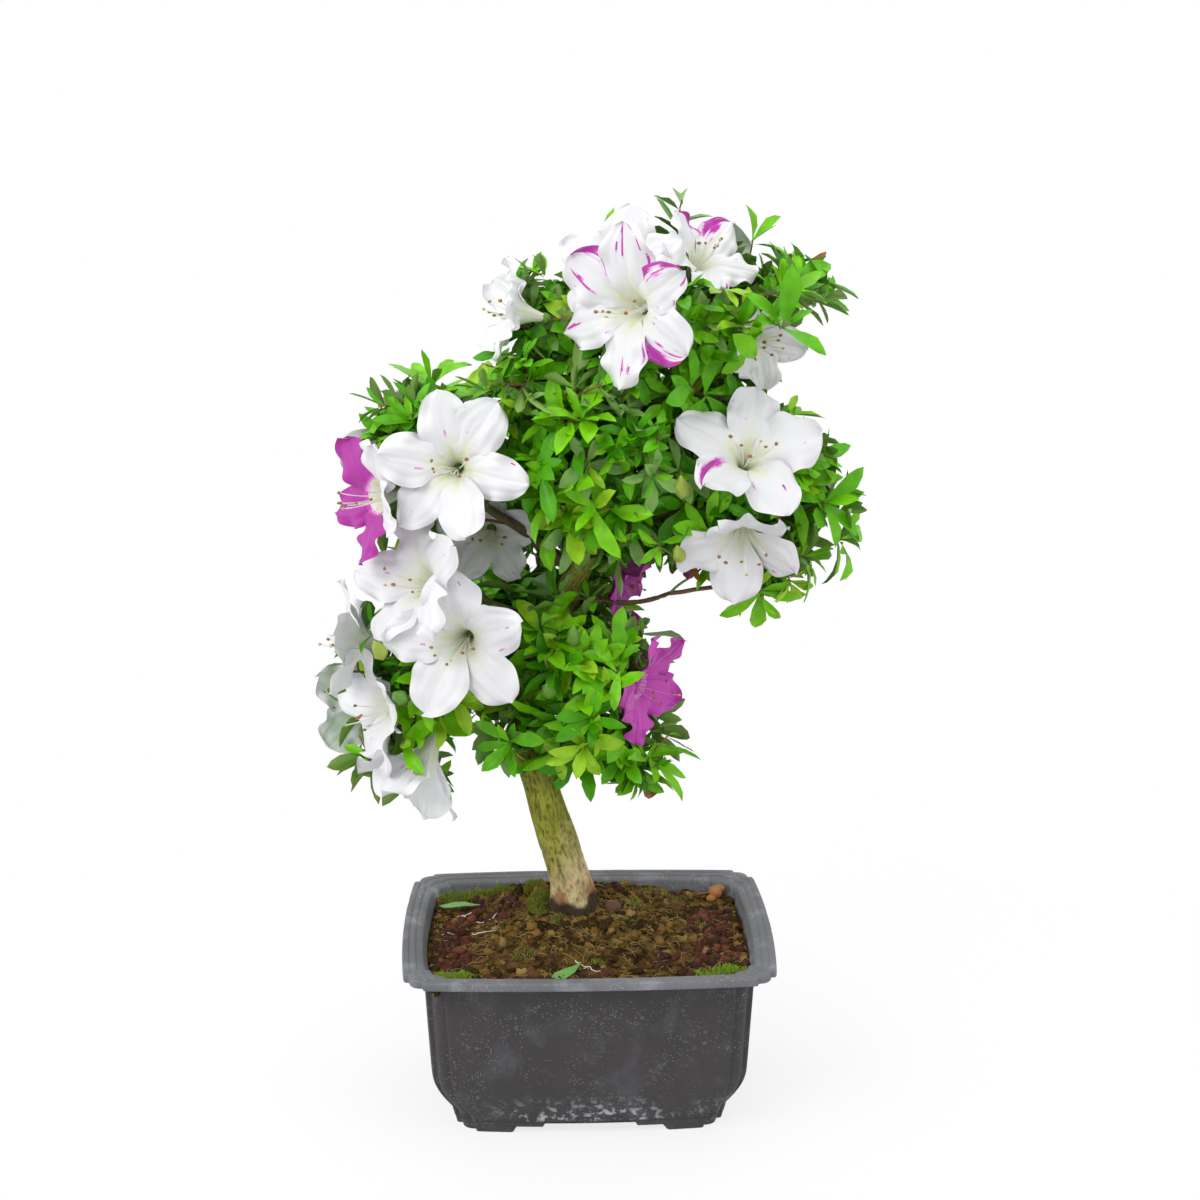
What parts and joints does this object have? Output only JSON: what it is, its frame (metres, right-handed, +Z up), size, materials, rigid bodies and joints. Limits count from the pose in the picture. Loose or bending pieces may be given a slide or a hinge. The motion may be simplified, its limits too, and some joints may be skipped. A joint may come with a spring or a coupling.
{
  "type": "flowering azalea bonsai in a training pot",
  "caption": "Azalea bonsai with a winding trunk, leafy pads of small leaves and large pale blooms with magenta flecks, growing in a footed oblong plastic pot with indented corners.",
  "frame": {"origin": "middle of the footprint of the whole plant and pot, at the level the pot's feet stand on", "axes": "+Z up the plant, +X along the pot's long side to the right as the front is seen, -Y towards the pot's front"},
  "size_m": [0.281, 0.1884, 0.4859],
  "materials": {
    "pot": "matte",
    "soil": "matte",
    "bark": "matte",
    "foliage": "matte",
    "blossom": "matte"
  },
  "bodies": {
    "root": {"pot": "pot", "soil": "soil", "trunk": "bark", "bough_low_left": "bark", "bough_mid_left": "bark", "bough_left": "bark", "bough_right_low": "bark", "bough_right": "bark", "bough_upper_left": "bark", "bough_back_low": "bark", "bough_back_high": "bark", "mass_apex": "foliage", "mass_upper_left": "foliage", "mass_middle": "foliage", "mass_left": "foliage", "mass_right": "foliage", "mass_right_low": "foliage", "mass_low_left": "foliage", "mass_low_left_tip": "foliage", "mass_low_middle": "foliage", "mass_back_low": "foliage", "mass_back_high": "foliage"}
  },
  "joints": []
}
